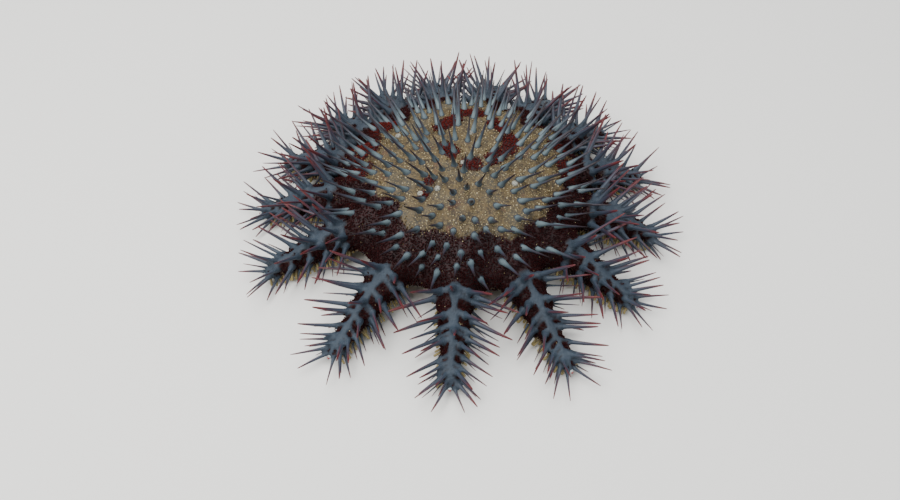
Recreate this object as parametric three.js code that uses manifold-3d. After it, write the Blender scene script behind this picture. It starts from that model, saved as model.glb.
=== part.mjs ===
// A crown of thorns starfish, Acanthaster, life size: a domed disc, fifteen arms that droop
// to the floor, stout venomous spines on pedestals, and tube feet with flat soles.
// Millimetres, +Z up, the front arms towards -Y, the floor at z = 0.
import * as THREE from "three";
import { mergeVertices } from "three/addons/utils/BufferGeometryUtils.js";
import Module from "manifold-3d";

const wasm = await Module();
wasm.setup();

// Driving sizes of the disc
const discCentre = new THREE.Vector2(1.33, 9.13); // puts the middle of the whole outline at x = y = 0
const discRim = 104; // from the centre to the flat where an arm grows
const domeTop = 62;
const domeDrop = 25; // from the crown of the dome to the rim
const domePower = 2.5;
const rimFace = 5; // height of the upright band below the rim's rounding
const rimRound = 3.5;
const rimUnder = 15; // height of the disc's lower edge
const underArch = 9; // how much higher the underside is at the mouth
const valleyDepth = 11; // between the roots of two arms
const valleyStart = 70; // radius where the valleys begin
const valleyPower = 1.4; // above 1, the valleys are narrow
const topRings = [0, 30, 58, 82]; // radii at which the dome turns
const underRings = [80, 28];
const mouthRadius = 19;
const mouthDepth = 5;

// Driving sizes of the arms
const partGap = 0.3; // between two nodes that meet
const leastDetail = 0.04; // edges that change the shape less than this are taken out
const rootTop = 37;
const rootUnder = 13;
const tipTop = 12;
const tipUnder = 4;
const belly = 0.42; // height of an arm's widest place, as a share of its height there
const rootHalfWidth = 17; // of an arm with room, and less where its neighbours stand close
const rootRoom = 1.3; // from a root to the middle of the valley beside it
const tipHalfWidth = 5.2;
const tipRound = 0.14; // share of the arm that is rounded off at its tip
const tipFace = 0.34; // width of the small end face, as a share of the arm there
const eyeLength = 2.2; // of the button that carries the eyespot

// Each arm's direction in degrees, its reach from the disc's centre and how much it droops early
const arms = [
  { angle: 268, reach: 175, droop: 1.05 },
  { angle: 297, reach: 178, droop: 1.05 },
  { angle: 323, reach: 168, droop: 1.15 },
  { angle: 348, reach: 164, droop: 1.4 },
  { angle: 12, reach: 160, droop: 1.45 },
  { angle: 35, reach: 157, droop: 1.4 },
  { angle: 57, reach: 155, droop: 1.3 },
  { angle: 79, reach: 153, droop: 1.25 },
  { angle: 101, reach: 153, droop: 1.25 },
  { angle: 122, reach: 157, droop: 1.3 },
  { angle: 143, reach: 161, droop: 1.45 },
  { angle: 164, reach: 164, droop: 1.5 },
  { angle: 185, reach: 169, droop: 1.4 },
  { angle: 207, reach: 173, droop: 1.2 },
  { angle: 238, reach: 178, droop: 1.05 },
];

// Driving sizes of the spines
const discSpine = { length: 30, base: 2.5, sides: 4, count: 108, lean: 62, leastLean: 4, leanPower: 0.65 };
const armSpine = { length: 39, tipLength: 27, base: 3.1, tipBase: 2.2, sides: 3 };
const spineWaist = 0.26; // where the flared pedestal ends, as a share of the length
const waistWidth = 0.66; // of the base
const rootDepth = 2.4; // how far a spine is sunk in its pedestal
const clearance = 0.6; // between a spine and anything of another node
const ownOverlap = 0.4; // that two spines of one node may share at their feet
const floorClearance = 1;
const shortenings = [1, 0.86, 0.72, 0.58]; // shares of its length that a spine is tried at
const turnings = [0, 8, 16, 25, 34]; // degrees that it is turned by at each length
const rimRoom = 4.5; // from the disc to the nearest spine on an arm
const stubLength = 7; // of each spine's foot, which all the others leave free

// Rows of spines on an arm: turn round the arm from its ridge, first and last place along it
const spineRows = [
  { turn: 0, from: 0.06, to: 0.84, count: 3, scale: 0.85 },
  { turn: 38, from: 0.04, to: 0.86, count: 4, scale: 1 },
  { turn: 72, from: 0.08, to: 0.92, count: 5, scale: 1 },
  { turn: 104, from: 0.5, to: 0.86, count: 2, scale: 0.7 },
];

// The fan of spines at an arm's tip, which lean forward
const tipSpines = { turns: [-48, 0, 48], along: 0.985, scale: 0.85, forward: 1.4 };

// Driving sizes of the tube feet
const footPairs = 3;
const footRadius = 1.9;
const footSpread = 0.34; // of the arm's half width
const footSink = 4;

const radians = THREE.MathUtils.degToRad;
const { clamp, lerp, smoothstep } = THREE.MathUtils;

// The same random numbers on every run
let seed = 20113;
function random() {
  seed = (seed * 16807) % 2147483647;
  return seed / 2147483647;
}
const spread = (size) => (random() * 2 - 1) * size;

// Solids and meshes
function solidOf(geometry) {
  const bare = geometry.clone();
  bare.deleteAttribute("normal");
  bare.deleteAttribute("uv");
  const merged = mergeVertices(bare, 1e-4);
  return new wasm.Manifold(
    new wasm.Mesh({
      numProp: 3,
      vertProperties: merged.attributes.position.array,
      triVerts: new Uint32Array(merged.index.array),
    }),
  );
}

function meshOf(name, solid, material) {
  const largest = solid.decompose().sort((a, b) => b.volume() - a.volume())[0];
  const found = largest.simplify(leastDetail).getMesh();
  const geometry = new THREE.BufferGeometry();
  geometry.setAttribute("position", new THREE.BufferAttribute(found.vertProperties, found.numProp));
  geometry.setIndex(new THREE.BufferAttribute(found.triVerts, 1));
  geometry.computeVertexNormals();
  const mesh = new THREE.Mesh(geometry, material);
  mesh.name = name;
  return mesh;
}

// Moves each vertex of a geometry to the place that a function gives it
function reshape(geometry, place) {
  const position = geometry.attributes.position;
  const point = new THREE.Vector3();
  for (let i = 0; i < position.count; i++) {
    point.fromBufferAttribute(position, i);
    place(point);
    position.setXYZ(i, point.x, point.y, point.z);
  }
  return geometry;
}

// The direction of the arm nearest to an angle, and how far the angle is from it towards the valley
const turnTo = (a, b) => THREE.MathUtils.euclideanModulo(b - a + 180, 360) - 180;

function nearestArm(angle) {
  const offsets = arms.map((arm) => turnTo(arm.angle, angle));
  const index = offsets.reduce((best, o, i) => (Math.abs(o) < Math.abs(offsets[best]) ? i : best), 0);
  const side = Math.sign(offsets[index]) || 1;
  const next = arms[(index + side + arms.length) % arms.length];
  const half = Math.abs(turnTo(arms[index].angle, next.angle)) / 2;
  return { index, offset: offsets[index], share: Math.abs(offsets[index]) / half };
}

function discTop(radius, angle) {
  const dome = domeTop - domeDrop * Math.pow(radius / discRim, domePower);
  const valley = (1 - Math.cos(Math.PI * nearestArm(angle).share)) / 2;
  return dome - valleyDepth * Math.pow(valley, valleyPower) * smoothstep(radius, valleyStart, discRim);
}

const discUnder = (radius) => rimUnder + underArch * (1 - Math.pow(radius / discRim, 2));

const rimRadius = (angle) => discRim / Math.cos(radians(nearestArm(angle).offset));

// The angles at which the disc's outline turns: its corners, and places along each arm's root
function discAngles() {
  return arms.flatMap((arm, i) => {
    const next = arms[(i + 1) % arms.length];
    const step = turnTo(arm.angle, next.angle);
    return [0, 0.5].map((share) => arm.angle + share * step);
  });
}

function discBody() {
  const angles = discAngles();
  const profile = [
    ...topRings.map((r) => new THREE.Vector2(r, 3)),
    new THREE.Vector2(discRim, 2),
    new THREE.Vector2(discRim, 1),
    ...underRings.map((r) => new THREE.Vector2(r, 0)),
    new THREE.Vector2(0, 0),
  ];
  const lathe = new THREE.LatheGeometry(profile.reverse(), angles.length);
  return reshape(lathe, (p) => {
    const radius = Math.hypot(p.x, p.z);
    const level = Math.round(p.y);
    const index = Math.round((Math.atan2(p.x, p.z) / (2 * Math.PI)) * angles.length);
    const angle = angles[(index + angles.length) % angles.length];
    const atRim = level === 1 || level === 2;
    const corners = smoothstep(radius, discRim * 0.65, discRim);
    const wide = radius * lerp(1, rimRadius(angle) / discRim, corners);
    const top = discTop(radius, angle);
    const heights = [discUnder(radius), rimUnder + rimFace, top - rimRound, top];
    const out = atRim ? rimRadius(angle) : wide;
    p.set(out * Math.cos(radians(angle)), out * Math.sin(radians(angle)), heights[level]);
  });
}

// Half the width of an arm's root, which leaves room for its nearer neighbour
function rootHalf(arm) {
  const index = arms.indexOf(arm);
  const next = arms[(index + 1) % arms.length];
  const last = arms[(index + arms.length - 1) % arms.length];
  const nearest = Math.min(turnTo(arm.angle, next.angle), turnTo(last.angle, arm.angle)) / 2;
  return Math.min(rootHalfWidth, discRim * Math.tan(radians(nearest)) - rootRoom);
}

// The arm's own shape, along its length from 0 at the root to 1 at the tip
function armSection(arm, along) {
  const s = clamp(along, 0, 1);
  const intoTip = Math.max((s - 1 + tipRound) / tipRound, 0);
  const round = Math.sqrt(1 - intoTip ** 2 * (1 - tipFace ** 2));
  const top = lerp(rootTop, tipTop, Math.pow(s, arm.droop));
  const under = lerp(rootUnder, tipUnder, 1 - Math.pow(1 - s, 1.7));
  const middle = lerp(under, top, belly);
  return {
    radius: lerp(discRim + partGap, arm.reach, s),
    half: lerp(rootHalf(arm), tipHalfWidth, Math.pow(s, 0.85)) * round,
    top: lerp(middle, top, round),
    under: lerp(middle, under, round),
    middle,
  };
}

// A point on an arm. The turn is in degrees from the ridge, positive to the arm's left.
function armPoint(arm, along, turn) {
  const { radius, half, top, under, middle } = armSection(arm, along);
  const a = radians(turn);
  const across = half * Math.sign(Math.sin(a)) * Math.pow(Math.abs(Math.sin(a)), 0.9);
  const c = Math.cos(a);
  const over = (top - middle) * Math.pow(Math.abs(c), 0.95);
  const below = (middle - under) * Math.pow(Math.abs(c), 0.55);
  const d = radians(arm.angle);
  return new THREE.Vector3(
    radius * Math.cos(d) - across * Math.sin(d),
    radius * Math.sin(d) + across * Math.cos(d),
    c > 0 ? middle + over : middle - below,
  );
}

const armSides = 8;
const armStations = [0, 0.3, 0.58, 0.82, 0.95, 1];

function armBody(arm) {
  const tube = new THREE.CylinderGeometry(1, 1, armStations.length - 1, armSides, armStations.length - 1);
  return reshape(tube, (p) => {
    const station = armStations[Math.round(p.y + (armStations.length - 1) / 2)];
    if (Math.hypot(p.x, p.z) < 0.5) {
      const { middle } = armSection(arm, station);
      p.copy(armPoint(arm, station, 90)).lerp(armPoint(arm, station, -90), 0.5).setZ(middle);
    } else {
      p.copy(armPoint(arm, station, THREE.MathUtils.radToDeg(Math.atan2(-p.x, p.z))));
    }
  });
}

// The arm's outward direction at a place, from three near points of its surface
function armNormal(arm, along, turn) {
  const here = armPoint(arm, along, turn);
  const ahead = armPoint(arm, Math.min(along + 0.04, 0.97), turn).sub(armPoint(arm, along - 0.04, turn));
  const round = armPoint(arm, along, turn + 6).sub(armPoint(arm, along, turn - 6));
  const normal = new THREE.Vector3().crossVectors(ahead, round).normalize();
  const { radius, middle } = armSection(arm, along);
  const d = radians(arm.angle);
  const inside = new THREE.Vector3(radius * Math.cos(d), radius * Math.sin(d), middle);
  return normal.dot(here.sub(inside)) < 0 ? normal.negate() : normal;
}

// The roots, directions and sizes of every spine, before they are kept clear of one another
function plannedDiscSpines() {
  const goldenAngle = 137.508; // sets the roots evenly over the dome
  const outer = discRim - 7;
  return Array.from({ length: discSpine.count }, (_, i) => {
    const radius = outer * Math.sqrt((i + 0.55) / discSpine.count) + spread(1.6);
    const angle = i * goldenAngle + spread(4);
    const a = radians(angle);
    const leaning = discSpine.lean * Math.pow(radius / outer, discSpine.leanPower);
    const lean = radians(Math.max(leaning, discSpine.leastLean) + spread(5));
    const swing = a + radians(spread(9));
    return {
      node: "disc",
      root: new THREE.Vector3(radius * Math.cos(a), radius * Math.sin(a), discTop(radius, angle)),
      direction: new THREE.Vector3(
        Math.sin(lean) * Math.cos(swing),
        Math.sin(lean) * Math.sin(swing),
        Math.cos(lean),
      ),
      length: discSpine.length * (0.82 + 0.2 * (radius / outer)) * (1 + spread(0.1)),
      base: discSpine.base * (1 + spread(0.08)),
      sides: discSpine.sides,
    };
  });
}

function plannedArmSpines(arm, name) {
  const outward = new THREE.Vector3(Math.cos(radians(arm.angle)), Math.sin(radians(arm.angle)), 0);
  const first = rimRoom / (arm.reach - discRim);
  const planned = [];
  const plan = (along, turn, scale, forward) => {
    const direction = armNormal(arm, along, turn).addScaledVector(outward, forward).normalize();
    planned.push({
      node: name,
      root: armPoint(arm, along, turn),
      direction,
      length: lerp(armSpine.length, armSpine.tipLength, along) * scale * (1 + spread(0.1)),
      base: lerp(armSpine.base, armSpine.tipBase, along) * (scale < 0.8 ? 0.8 : 1),
      sides: armSpine.sides,
    });
  };
  for (const row of spineRows) {
    for (const side of row.turn ? [-1, 1] : [1]) {
      for (let k = 0; k < row.count; k++) {
        const along = lerp(row.from, row.to, k / (row.count - 1)) + spread(0.025);
        const turn = side * row.turn + spread(5) + (row.turn ? 0 : (k % 2 ? 1 : -1) * 7);
        plan(clamp(along, first, 0.95), turn, row.scale, 0.25 + 0.45 * along);
      }
    }
  }
  const { turns, along, scale, forward } = tipSpines;
  for (const turn of turns) plan(along, turn + spread(6), scale, forward);
  return planned;
}

// The least distance between two spines, less their thickness there
function gapBetween(a, b) {
  const steps = 9;
  let least = Infinity;
  for (let i = 0; i <= steps; i++) {
    const t = i / steps;
    const p = a.root.clone().addScaledVector(a.direction, a.length * t);
    const along = clamp(p.clone().sub(b.root).dot(b.direction) / b.length, 0, 1);
    const q = b.root.clone().addScaledVector(b.direction, b.length * along);
    least = Math.min(least, p.distanceTo(q) - thickness(a, t) - thickness(b, along));
  }
  return least;
}

function thickness(spine, along) {
  const waist = spine.base * waistWidth;
  return along < spineWaist
    ? lerp(spine.base, waist, along / spineWaist)
    : lerp(waist, 0.2, (along - spineWaist) / (1 - spineWaist));
}

// True where a point is inside the disc or an arm, or nearer to it than the clearance
function inBody(point, own, room) {
  const radius = Math.hypot(point.x, point.y);
  const angle = THREE.MathUtils.radToDeg(Math.atan2(point.y, point.x));
  const top = discTop(Math.min(radius, discRim), angle);
  if (own !== "disc" && radius < rimRadius(angle) + room && point.z < top + room) return true;
  return arms.some((arm, i) => {
    if (own === armName(i)) return false;
    const d = radians(arm.angle);
    const out = point.x * Math.cos(d) + point.y * Math.sin(d);
    const across = Math.abs(-point.x * Math.sin(d) + point.y * Math.cos(d));
    if (out < discRim - room || out > arm.reach + eyeLength + room) return false;
    const { half, top, under, middle } = armSection(arm, (out - discRim) / (arm.reach - discRim));
    const tall = point.z > middle ? top - middle + room : middle - under + room;
    return Math.hypot(across / (half + room), (point.z - middle) / tall) < 1;
  });
}

function isClear(spine, others) {
  const steps = 8;
  for (let i = 2; i <= steps; i++) {
    const t = i / steps;
    const p = spine.root.clone().addScaledVector(spine.direction, spine.length * t);
    const room = thickness(spine, t) + clearance;
    if (p.z < thickness(spine, t) + floorClearance || inBody(p, spine.node, room)) return false;
  }
  return others.every((other) => {
    const near = spine.root.distanceTo(other.root) < spine.length + other.length + 6;
    const room = other.node === spine.node ? -ownOverlap : clearance;
    return !near || gapBetween(spine, other) > room;
  });
}

// Turns a planned spine a little, and then shortens it, until it is clear of all the others
function fitted(spine, placed, stubs) {
  const others = [...placed, ...stubs.filter((stub) => stub.root !== spine.root)];
  const side = new THREE.Vector3(0, 0, 1).cross(spine.direction).normalize();
  const up = new THREE.Vector3().crossVectors(spine.direction, side).normalize();
  for (const short of shortenings) {
    for (const turning of turnings) {
      for (let k = 0; k < (turning ? 8 : 1); k++) {
        const a = (k * Math.PI) / 4;
        const size = Math.tan(radians(turning));
        const direction = spine.direction
          .clone()
          .addScaledVector(up, size * Math.cos(a))
          .addScaledVector(side, size * Math.sin(a))
          .normalize();
        const tried = { ...spine, direction, length: spine.length * short };
        if (isClear(tried, others)) return tried;
      }
    }
  }
  return null;
}

const armName = (i) => "arm_" + String(i + 1).padStart(2, "0");

function layOutSpines() {
  const planned = [
    ...plannedDiscSpines(),
    ...arms.flatMap((arm, i) => plannedArmSpines(arm, armName(i))),
  ];
  const stubs = planned.map((spine) => ({ ...spine, length: stubLength }));
  const placed = [];
  for (const spine of planned) {
    const found = fitted(spine, placed, stubs);
    if (found) placed.push(found);
  }
  return placed;
}

// A spine: a flared pedestal, then a long taper
function spineSolid(spine) {
  const whole = spine.length + rootDepth;
  const cone = new THREE.ConeGeometry(spine.base * 1.12, whole, spine.sides, 2);
  const waistHeight = rootDepth + spine.length * spineWaist - whole / 2;
  reshape(cone, (p) => {
    if (Math.abs(p.y) > 0.1) return;
    const scale = (spine.base * waistWidth * 1.12) / Math.hypot(p.x, p.z);
    p.set(p.x * scale, waistHeight, p.z * scale);
  });
  cone.translate(0, whole / 2 - rootDepth, 0);
  const turn = new THREE.Quaternion().setFromUnitVectors(new THREE.Vector3(0, 1, 0), spine.direction);
  cone.applyQuaternion(turn).translate(spine.root.x, spine.root.y, spine.root.z);
  return solidOf(cone);
}

// A tube foot: a tapered peg that ends in a flat round sole on the floor
function footSolid(x, y, top) {
  const sole = footRadius * 1.15;
  const foot = new THREE.CylinderGeometry(footRadius * 0.8, sole, top, 4, 1);
  foot.rotateX(Math.PI / 2).translate(x, y, top / 2);
  return solidOf(foot);
}

function armFeet(arm) {
  const d = radians(arm.angle);
  const feet = [];
  for (let k = 0; k < footPairs; k++) {
    const along = lerp(0.12, 0.9, k / (footPairs - 1));
    const { radius, half, under } = armSection(arm, along);
    for (const side of [-1, 1]) {
      const across = side * half * footSpread;
      const x = radius * Math.cos(d) - across * Math.sin(d);
      const y = radius * Math.sin(d) + across * Math.cos(d);
      feet.push(footSolid(x, y, under + footSink));
    }
  }
  return feet;
}

// The pale button at the very tip of an arm, which carries its eyespot
function eyeSolid(arm) {
  const { radius, half, top, under } = armSection(arm, 1);
  const button = new THREE.CylinderGeometry(0.55, 1, eyeLength, 8, 1);
  button.rotateZ(-Math.PI / 2);
  button.scale(1, (top - under) / 2, half).translate(eyeLength / 2, 0, 0);
  button.rotateX(Math.PI / 2).rotateZ(radians(arm.angle));
  const d = radians(arm.angle);
  const out = radius + partGap;
  button.translate(out * Math.cos(d), out * Math.sin(d), (top + under) / 2);
  return solidOf(button);
}

// A low round button on the dome: a sieve plate, or the anus at the crown
function buttonSolid(radius, angle, wide, tall) {
  const button = new THREE.CylinderGeometry(wide * 0.7, wide, tall * 2, 8, 1);
  const a = radians(angle);
  const steep = (domeDrop * domePower * Math.pow(radius / discRim, domePower - 1)) / discRim;
  button.rotateX(Math.PI / 2).rotateY(Math.atan(steep)).rotateZ(a);
  button.translate(radius * Math.cos(a), radius * Math.sin(a), discTop(radius, angle));
  return solidOf(button);
}

const plateTall = 1.6;
const anusPlace = { radius: 31, angle: 79, wide: 3, tall: 1.8 };
const sievePlates = [
  { radius: 37, angle: 239, wide: 3.2 },
  { radius: 48, angle: 228, wide: 3 },
  { radius: 5, angle: 272, wide: 2.8 },
  { radius: 47, angle: 330, wide: 3.2 },
  { radius: 62, angle: 150, wide: 3.3 },
];

// The mouth's membrane, a shallow cone that points down into its ring
function mouthSolid() {
  const top = discUnder(0) + mouthDepth - partGap;
  const profile = [
    new THREE.Vector2(0, top - 4),
    new THREE.Vector2(mouthRadius * 0.25, top - 6),
    new THREE.Vector2(mouthRadius * 0.7, top - 4.5),
    new THREE.Vector2(mouthRadius - partGap, top - 3),
    new THREE.Vector2(mouthRadius - partGap, top),
    new THREE.Vector2(0, top),
  ];
  const membrane = new THREE.LatheGeometry(profile, 20).rotateX(Math.PI / 2);
  return solidOf(membrane);
}

function mouthHollow() {
  const tall = 20;
  const hollow = new THREE.CylinderGeometry(mouthRadius, mouthRadius, tall, 20, 1).rotateX(Math.PI / 2);
  hollow.translate(0, 0, discUnder(0) + mouthDepth - tall / 2);
  return solidOf(hollow);
}

// Finishes: blue-grey spined skin, sandy disc, red papulae between the arms, pale feet
const sandySkin = new THREE.MeshStandardMaterial({ color: 0x8f7a5c, roughness: 0.75, metalness: 0 });
const greySkin = new THREE.MeshStandardMaterial({ color: 0x5d6b7a, roughness: 0.6, metalness: 0 });
const paleSkin = new THREE.MeshStandardMaterial({ color: 0xb59a6c, roughness: 0.7, metalness: 0 });
const redSkin = new THREE.MeshStandardMaterial({ color: 0x8a1f1c, roughness: 0.5, metalness: 0 });

const starfish = new THREE.Group();
starfish.position.set(discCentre.x, discCentre.y, 0);
const spines = layOutSpines();
const spinesOf = (name) => spines.filter((spine) => spine.node === name).map(spineSolid);

const buttons = sievePlates.map(({ radius, angle, wide }) => buttonSolid(radius, angle, wide, plateTall));
const anus = buttonSolid(anusPlace.radius, anusPlace.angle, anusPlace.wide, anusPlace.tall);
const disc = wasm.Manifold.union([solidOf(discBody()), anus, ...buttons, ...spinesOf("disc")]);
starfish.add(meshOf("disc", disc.subtract(mouthHollow()), sandySkin));
starfish.add(meshOf("mouth", mouthSolid(), paleSkin));

arms.forEach((arm, i) => {
  const name = armName(i);
  const whole = wasm.Manifold.union([solidOf(armBody(arm)), ...armFeet(arm), ...spinesOf(name)]);
  starfish.add(meshOf(name, whole, greySkin));
  starfish.add(meshOf(name.replace("arm", "eye"), eyeSolid(arm), redSkin));
});

export default starfish;
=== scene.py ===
import math
import time

import bpy
import numpy as np
from mathutils import Matrix, Vector


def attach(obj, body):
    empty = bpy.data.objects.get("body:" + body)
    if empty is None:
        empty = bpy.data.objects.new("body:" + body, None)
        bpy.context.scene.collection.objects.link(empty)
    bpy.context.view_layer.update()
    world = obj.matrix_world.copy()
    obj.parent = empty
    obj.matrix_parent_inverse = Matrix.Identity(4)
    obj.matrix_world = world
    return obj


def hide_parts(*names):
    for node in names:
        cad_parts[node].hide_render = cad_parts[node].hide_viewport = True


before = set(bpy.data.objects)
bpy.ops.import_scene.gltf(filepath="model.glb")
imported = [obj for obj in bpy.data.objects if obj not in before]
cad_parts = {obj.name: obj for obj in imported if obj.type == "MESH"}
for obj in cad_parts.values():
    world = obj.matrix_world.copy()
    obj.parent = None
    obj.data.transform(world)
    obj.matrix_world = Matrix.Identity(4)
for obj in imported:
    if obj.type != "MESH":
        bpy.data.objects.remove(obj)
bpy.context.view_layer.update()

started = time.time()
metre = 0.001  # every size below is in millimetres, from the middle of the disc
centre = np.array([1.33, 9.13, 0.0])  # where that middle is in the row frame


def report(stage):
    print(f"{stage} at {time.time() - started:.0f} s")


# The animal's layout, from the same sizes as its solids

disc = {
    "rim": 104, "top": 62, "drop": 25, "power": 2.5, "rimUnder": 15, "underArch": 9,
    "valley": 11, "valleyStart": 70, "valleyPower": 1.4, "mouth": 19, "mouthDepth": 5,
}
arm = {
    "gap": 0.3, "rootTop": 37, "rootUnder": 13, "tipTop": 12, "tipUnder": 4, "rimRoom": 4.5,
    "rootHalf": 17, "rootRoom": 1.3, "tipHalf": 5.2, "tipRound": 0.14, "tipFace": 0.34, "eye": 2.2,
    "underPower": 1.7, "widthPower": 0.85, "belly": 0.42,
    "sidePower": 0.9, "overPower": 0.95, "belowPower": 0.55,
}
# each arm's direction in degrees, its reach and how early it droops
arms = [
    (268, 175, 1.05), (297, 178, 1.05), (323, 168, 1.15), (348, 164, 1.4), (12, 160, 1.45),
    (35, 157, 1.4), (57, 155, 1.3), (79, 153, 1.25), (101, 153, 1.25), (122, 157, 1.3),
    (143, 161, 1.45), (164, 164, 1.5), (185, 169, 1.4), (207, 173, 1.2), (238, 178, 1.05),
]
armAngle, armReach, armDroop = np.array(arms, float).T


def lerp(a, b, share):
    return a + (b - a) * share


def smoothstep(x, low, high):
    t = np.clip((x - low) / (high - low), 0, 1)
    return t * t * (3 - 2 * t)


def turnTo(start, end):
    return (end - start + 180) % 360 - 180


def nearestArm(angle):  # its number, the turn from it and that turn's share of the way to the valley
    offsets = turnTo(armAngle[:, None], np.atleast_1d(angle)[None])
    index = np.abs(offsets).argmin(0)
    offset = offsets[index, np.arange(offsets.shape[1])]
    beside = (index + np.where(offset < 0, -1, 1)) % len(arms)
    return index, offset, 2 * np.abs(offset / turnTo(armAngle[index], armAngle[beside]))


def discTop(radius, angle):
    dome = disc["top"] - disc["drop"] * (radius / disc["rim"]) ** disc["power"]
    valley = ((1 - np.cos(np.pi * nearestArm(angle)[2])) / 2) ** disc["valleyPower"]
    return dome - disc["valley"] * valley * smoothstep(radius, disc["valleyStart"], disc["rim"])


def discUnder(radius):
    return disc["rimUnder"] + disc["underArch"] * (1 - (radius / disc["rim"]) ** 2)


def rimRadius(angle):
    return disc["rim"] / np.cos(np.radians(nearestArm(angle)[1]))


def rootHalf(i):
    gaps = turnTo(armAngle[i], armAngle[(i + 1) % len(arms)]), turnTo(armAngle[i - 1], armAngle[i])
    return min(arm["rootHalf"], disc["rim"] * math.tan(math.radians(min(gaps) / 2)) - arm["rootRoom"])


armHalf = np.array([rootHalf(i) for i in range(len(arms))])


def armSection(i, along):  # half width, top, under and middle height
    s = np.clip(along, 0, 1)
    tip = np.clip((s - 1 + arm["tipRound"]) / arm["tipRound"], 0, 1)
    roundness = np.sqrt(1 - tip ** 2 * (1 - arm["tipFace"] ** 2))
    top = lerp(arm["rootTop"], arm["tipTop"], s ** armDroop[i])
    under = lerp(arm["rootUnder"], arm["tipUnder"], 1 - (1 - s) ** arm["underPower"])
    middle = under + (top - under) * arm["belly"]
    half = lerp(armHalf[i], arm["tipHalf"], s ** arm["widthPower"]) * roundness
    return half, lerp(middle, top, roundness), lerp(middle, under, roundness), middle


def fromArm(i, out, across, z):
    d = np.radians(armAngle[i])
    x = out * np.cos(d) - across * np.sin(d)
    y = out * np.sin(d) + across * np.cos(d)
    return np.stack(np.broadcast_arrays(x, y, z), -1)


def armPoint(i, along, turn):  # the turn is from the ridge, positive to the arm's left
    half, top, under, middle = armSection(i, along)
    a = np.radians(turn)
    across = half * np.sign(np.sin(a)) * np.abs(np.sin(a)) ** arm["sidePower"]
    c = np.cos(a)
    over = middle + (top - middle) * np.abs(c) ** arm["overPower"]
    below = middle - (middle - under) * np.abs(c) ** arm["belowPower"]
    out = lerp(disc["rim"] + arm["gap"], armReach[i], along)
    return fromArm(i, out, across, np.where(c > 0, over, below))


def unit(v):
    return v / np.linalg.norm(v)


def armNormal(i, along, turn):
    ahead = armPoint(i, min(along + 0.04, 0.97), turn) - armPoint(i, along - 0.04, turn)
    normal = unit(np.cross(ahead, armPoint(i, along, turn + 6) - armPoint(i, along, turn - 6)))
    out = lerp(disc["rim"] + arm["gap"], armReach[i], along)
    inside = fromArm(i, out, 0, armSection(i, along)[3])
    return normal if normal @ (armPoint(i, along, turn) - inside) > 0 else -normal


# Where the spines stand: those of the solids first, in the same order, then more and finer ones

discSpine = {
    "length": 30, "base": 2.5, "count": 108, "shift": 0.55, "rimRoom": 7,
    "lean": 62, "leastLean": 4, "leanPower": 0.65,
}
armSpine = {"length": 39, "tipLength": 27, "base": 3.1, "tipBase": 2.2}
spineFit = {
    "waist": 0.26, "waistWidth": 0.66, "tip": 0.2, "room": 0.6, "ownOverlap": 0.4, "floor": 1.0, "stub": 7,
    "shortenings": (1, 0.86, 0.72, 0.58), "turnings": (0, 8, 16, 25, 34),
}
# turn from the ridge, first and last place along the arm, how many on a side, share of the full length
spineRows = [
    (0, 0.06, 0.84, 3, 0.85), (38, 0.04, 0.86, 4, 1), (72, 0.08, 0.92, 5, 1), (104, 0.5, 0.86, 2, 0.7),
]
tipTurns, finerTips = (-48, 0, 48), (-85, 85)  # where the tips' own spines stand
finerRows = [
    (55, 0.12, 0.8, 3, 0.95), (30, 0.88, 0.96, 2, 0.72), (66, 0.84, 0.95, 3, 0.8),
    (90, 0.1, 0.9, 5, 0.68), (116, 0.12, 0.9, 7, 0.45),
]
denseRows = [(22, 0.12, 0.86, 4, 0.95), (50, 0.3, 0.9, 3, 0.85)]  # more of them on the arms at the sides
denseArms = (3, 4, 5, 6, 9, 10, 11, 12, 13)
finerSlim = {"base": 0.82, "shortBase": 0.7, "shortScale": 0.69}
finerDisc = {"count": 420, "shift": 0.3, "scale": 0.8, "apart": 8.6}  # the count is of candidates

goldenAngle = 137.508
seed = 20113


def spread(size):
    global seed
    seed = seed * 16807 % 2147483647
    return (seed / 2147483647 * 2 - 1) * size


def planDiscSpines(count, shift, scale):
    outer = disc["rim"] - discSpine["rimRoom"]
    planned = []
    for i in range(count):
        radius = outer * math.sqrt((i + shift) / count) + spread(1.6)
        angle = i * goldenAngle + spread(4) + (shift - discSpine["shift"]) * 400
        lean = max(discSpine["lean"] * (radius / outer) ** discSpine["leanPower"], discSpine["leastLean"])
        lean = math.radians(lean + spread(5))
        swing = math.radians(angle + spread(9))
        a = math.radians(angle)
        planned.append({
            "node": "disc", "size": scale,
            "root": np.array([radius * math.cos(a), radius * math.sin(a), discTop(radius, angle)[0]]),
            "direction": np.array([
                math.sin(lean) * math.cos(swing), math.sin(lean) * math.sin(swing), math.cos(lean)]),
            "length": discSpine["length"] * (0.82 + 0.2 * radius / outer) * (1 + spread(0.1)) * scale,
            "base": discSpine["base"] * (1 + spread(0.08)) * scale ** 0.5,
        })
    return planned


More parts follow.
